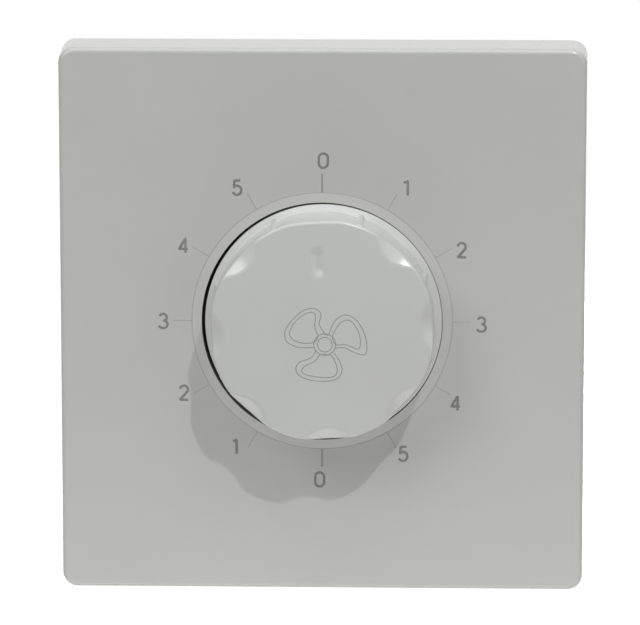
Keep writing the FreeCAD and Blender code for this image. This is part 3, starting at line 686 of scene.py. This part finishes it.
def on_dial(radius, angle):
    turn = math.radians(angle)
    return (plate_middle_x + radius * math.sin(turn), plate_middle_z + radius * math.cos(turn))


# The ticks at the two zeros are wider than the others
def dial_ticks():
    ticks = []
    for step in range(tick_count):
        angle = 360 / tick_count * step
        ticks.append([on_dial(tick_inner, angle), on_dial(tick_outer, angle)])
    half = tick_count // 2
    plain = ticks[1:half] + ticks[half + 1:]
    ribbon_piece("dial_ticks", plain, tick_width, on_plate, tick_ink, FIXED)
    zeros = ticks[::half]
    ribbon_piece("zero_ticks", zeros, zero_tick_width, on_plate, zero_ink, FIXED)


def dial_ring():
    ring = circle(plate_middle_x, plate_middle_z, ring_radius, ring_points)
    ribbon_piece("dial_ring", [ring], ring_width, on_plate, line_ink, FIXED, closed=True)


# A smooth curve through every point, in short straight steps
def smooth_path(points, closed):
    if closed:
        around = np.array([points[-1], *points, *points[:2]])
    else:
        around = np.array([points[0], *points, points[-1]])
    path = []
    for before, start, end, after in zip(around, around[1:], around[2:], around[3:]):
        slope = end - before
        bend = 2 * before - 5 * start + 4 * end - after
        twist = 3 * start - before - 3 * end + after
        for step in range(curve_steps):
            part = step / curve_steps
            path.append(tuple(start + (slope * part + bend * part**2 + twist * part**3) / 2))
    if not closed:
        path.append(points[-1])
    return path


# A generic three-bladed fan sign in thin double lines: the blades' outer lines
def blade_outlines():
    left = [
        (0.12, 1.64), (-0.5, 2.53), (-0.9, 3.47), (-0.59, 4.89), (-1.12, 5.62), (-1.89, 5.93),
        (-3.29, 5.62), (-4.68, 4.58), (-6.08, 2.84), (-6.45, 1.74), (-6.17, 0.47), (-4.99, -0.25),
        (-3.75, -0.54), (-1.74, -0.47),
    ]
    right = [
        (1.68, -0.63), (3.07, -0.47), (4.62, -1.2), (6.17, -1.67), (6.79, -0.95), (6.55, 1.26),
        (5.71, 3.16), (4.62, 4.42), (3.23, 4.86), (1.99, 4.26), (1.21, 3.16), (0.65, 1.74),
        (0.19, 1.58),
    ]
    lower = [
        (-1.49, -0.95), (-1.89, -1.89), (-2.82, -2.46), (-4.06, -2.93), (-4.68, -3.94), (-4.22, -5.05),
        (-2.82, -5.74), (-0.96, -6.06), (1.21, -5.93), (2.3, -5.36), (2.79, -4.1), (2.39, -2.68),
        (1.52, -1.42),
    ]
    return [left, right, lower]


# The blades' inner lines, closed
def blade_openings():
    left = [
        (-1.62, 3.16), (-1.4, 2.2), (-1.06, 1.42), (-1.74, 0.38), (-3.44, 0.22), (-4.99, 0.69),
        (-5.68, 1.89), (-4.68, 3.79), (-2.82, 5.14), (-1.74, 5.14), (-1.49, 4.42),
    ]
    right = [
        (1.24, 1.26), (1.75, 2.53), (2.61, 3.63), (3.69, 4.04), (4.62, 3.47), (5.55, 1.74),
        (5.71, -0.16), (5.24, -0.69), (4.31, -0.38), (3.07, 0.06), (1.77, 0.0),
    ]
    lower = [
        (-1.62, -2.75), (-3.2, -3.55), (-3.75, -4.42), (-2.82, -5.05), (-0.34, -5.43), (1.52, -5.21),
        (2.0, -4.1), (1.62, -2.75), (0.9, -1.75), (-0.75, -1.72),
    ]
    return [left, right, lower]


def fan_sign():
    outlines = [smooth_path(points, False) for points in blade_outlines()]
    openings = [smooth_path(points, True) for points in blade_openings()]
    hubs = [circle(0, 0, radius, sign_hub_points) for radius in sign_hub_radii]
    for name, paths, closed in (
        ("sign_blades", outlines, False),
        ("sign_openings", openings, True),
        ("sign_hub", hubs, True),
    ):
        placed = [[(x + sign_middle[0], z + sign_middle[1]) for x, z in path] for path in paths]
        ribbon_piece(name, placed, sign_line, on_knob, sign_ink, TURNING, closed)


# One for rays that show the white background: straight, mirrored or through clear material
def seen_or_mirrored(nodes, links):
    path = nodes.new("ShaderNodeLightPath")
    shown = path.outputs["Is Camera Ray"]
    for ray in ("Is Glossy Ray", "Is Transmission Ray"):
        either = nodes.new("ShaderNodeMath")
        either.operation = "MAXIMUM"
        links.new(shown, either.inputs[0])
        links.new(path.outputs[ray], either.inputs[1])
        shown = either.outputs["Value"]
    return shown


# One look for the light that is given, and another where the background is seen
def two_looks(nodes, links, lit, seen, out):
    choose = nodes.new("ShaderNodeMixShader")
    links.new(seen_or_mirrored(nodes, links), choose.inputs["Fac"])
    links.new(lit, choose.inputs[1])
    links.new(seen, choose.inputs[2])
    links.new(choose.outputs["Shader"], out.inputs["Surface"])


def pale_floor():
    mesh = bpy.data.meshes.new("floor")
    corners = ((-1, -1), (1, -1), (1, 1), (-1, 1))
    points = [(x * floor_half, y * floor_half, floor_level) for x, y in corners]
    mesh.from_pydata(points, [], [(0, 1, 2, 3)])
    floor = bpy.data.objects.new("floor", mesh)
    bpy.context.collection.objects.link(floor)
    material, nodes, links, shader = new_material("floor_white")
    shader.inputs["Base Color"].default_value = (floor_grey, floor_grey, floor_grey, 1)
    shader.inputs["Roughness"].default_value = floor_roughness
    glow = nodes.new("ShaderNodeEmission")
    glow.inputs["Strength"].default_value = floor_glow
    both = nodes.new("ShaderNodeAddShader")
    links.new(shader.outputs["BSDF"], both.inputs[0])
    links.new(glow.outputs["Emission"], both.inputs[1])
    out = next(node for node in nodes if node.type == "OUTPUT_MATERIAL")
    two_looks(nodes, links, shader.outputs["BSDF"], both.outputs["Shader"], out)
    mesh.materials.append(material)


def background(nodes, tint, strength):
    light = nodes.new("ShaderNodeBackground")
    light.inputs["Color"].default_value = tint
    light.inputs["Strength"].default_value = strength
    return light.outputs["Background"]


def studio_world():
    world = bpy.data.worlds.new("studio")
    bpy.context.scene.world = world
    world.use_nodes = True
    nodes = world.node_tree.nodes
    nodes.clear()
    out = nodes.new("ShaderNodeOutputWorld")
    lit = background(nodes, room_tint, room_light)
    seen = background(nodes, white, 1.0)
    two_looks(nodes, world.node_tree.links, lit, seen, out)


# Sets a lamp or camera at a distance from the plate's front and turns it to face the plate
def aimed(item, azimuth, elevation, distance):
    bpy.context.collection.objects.link(item)
    turn = math.radians(azimuth)
    rise = math.radians(elevation)
    level = math.cos(rise)
    towards = Vector((math.sin(turn) * level, -math.cos(turn) * level, math.sin(rise)))
    item.location = Vector(plate_aim) + towards * distance
    item.rotation_euler = (-towards).to_track_quat("-Z", "Y").to_euler()


def soft_lamps():
    for name, (azimuth, elevation, distance, width, height, watts, tint) in lamps.items():
        data = bpy.data.lights.new(name, "AREA")
        data.shape = "RECTANGLE"
        data.size = width
        data.size_y = height
        data.energy = watts
        data.color = tint
        lamp = bpy.data.objects.new(name, data)
        aimed(lamp, azimuth, elevation, distance)
        lamp.visible_camera = False


def photo_camera():
    data = bpy.data.cameras.new("camera")
    data.sensor_width = sensor
    data.lens = focal_pixels * sensor / image_width
    data.shift_x = -(picture_middle[0] - image_width / 2) / image_width
    data.shift_y = (picture_middle[1] - image_height / 2) / image_width
    camera = bpy.data.objects.new("camera", data)
    aimed(camera, camera_azimuth, camera_elevation, camera_distance)
    bpy.context.scene.camera = camera


fine_knob()
dial_numbers()
dial_ticks()
dial_ring()
fan_sign()
pale_floor()
studio_world()
soft_lamps()
photo_camera()
bpy.context.scene.view_settings.view_transform = "Standard"
